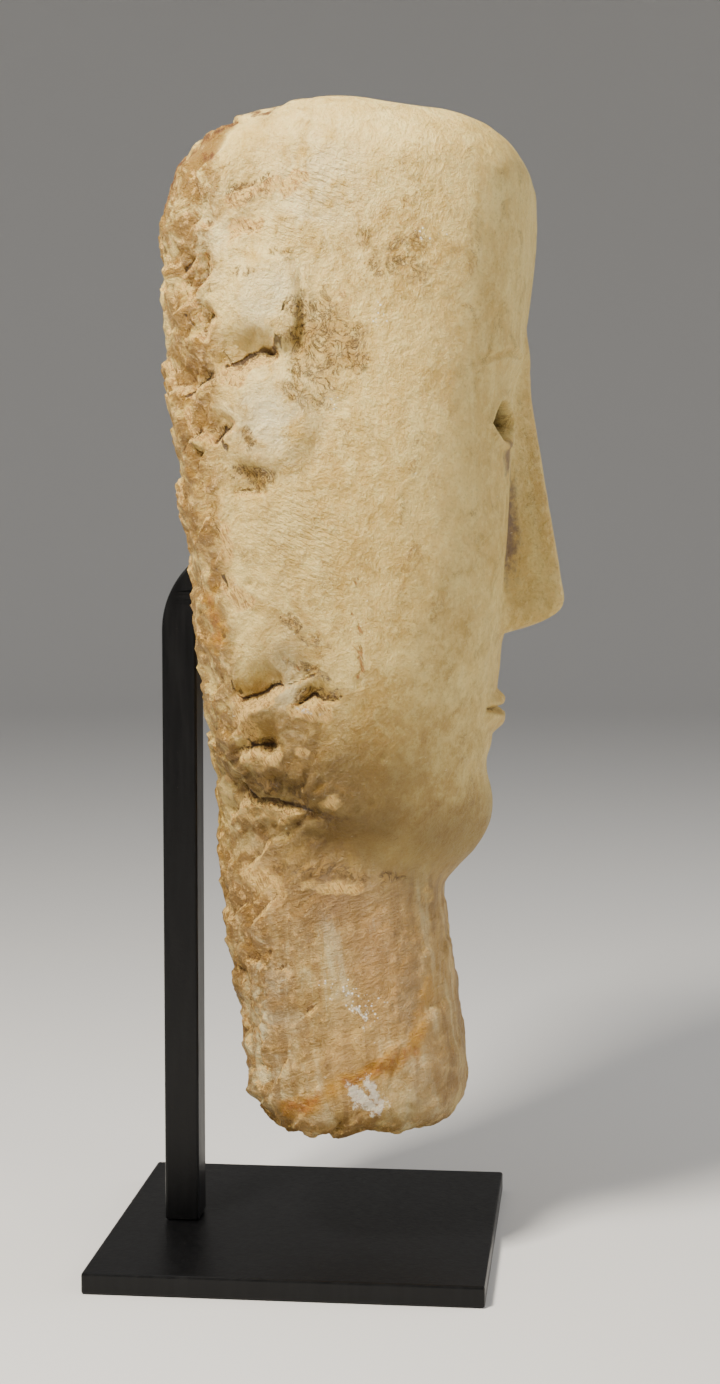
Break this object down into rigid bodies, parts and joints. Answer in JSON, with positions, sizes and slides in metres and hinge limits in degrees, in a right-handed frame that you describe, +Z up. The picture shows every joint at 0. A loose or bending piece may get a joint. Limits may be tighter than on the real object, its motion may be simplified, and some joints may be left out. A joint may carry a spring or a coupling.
{
  "type": "alabaster head sculpture",
  "caption": "Carved alabaster head and neck, broken below, hung by its back on a bent square bar that stands on a square base plate.",
  "frame": {"origin": "centre of the base plate's underside", "axes": "+Z up along the head's height, -Y the way the face looks, +X towards the head's left"},
  "size_m": [0.1243, 0.1287, 0.3234],
  "materials": {
    "alabaster": "worn waxy polish, rough dressed at the back",
    "black_steel": "black satin paint"
  },
  "bodies": {
    "root": {"head": "alabaster", "stand_post": "black_steel", "stand_base": "black_steel"}
  },
  "joints": []
}
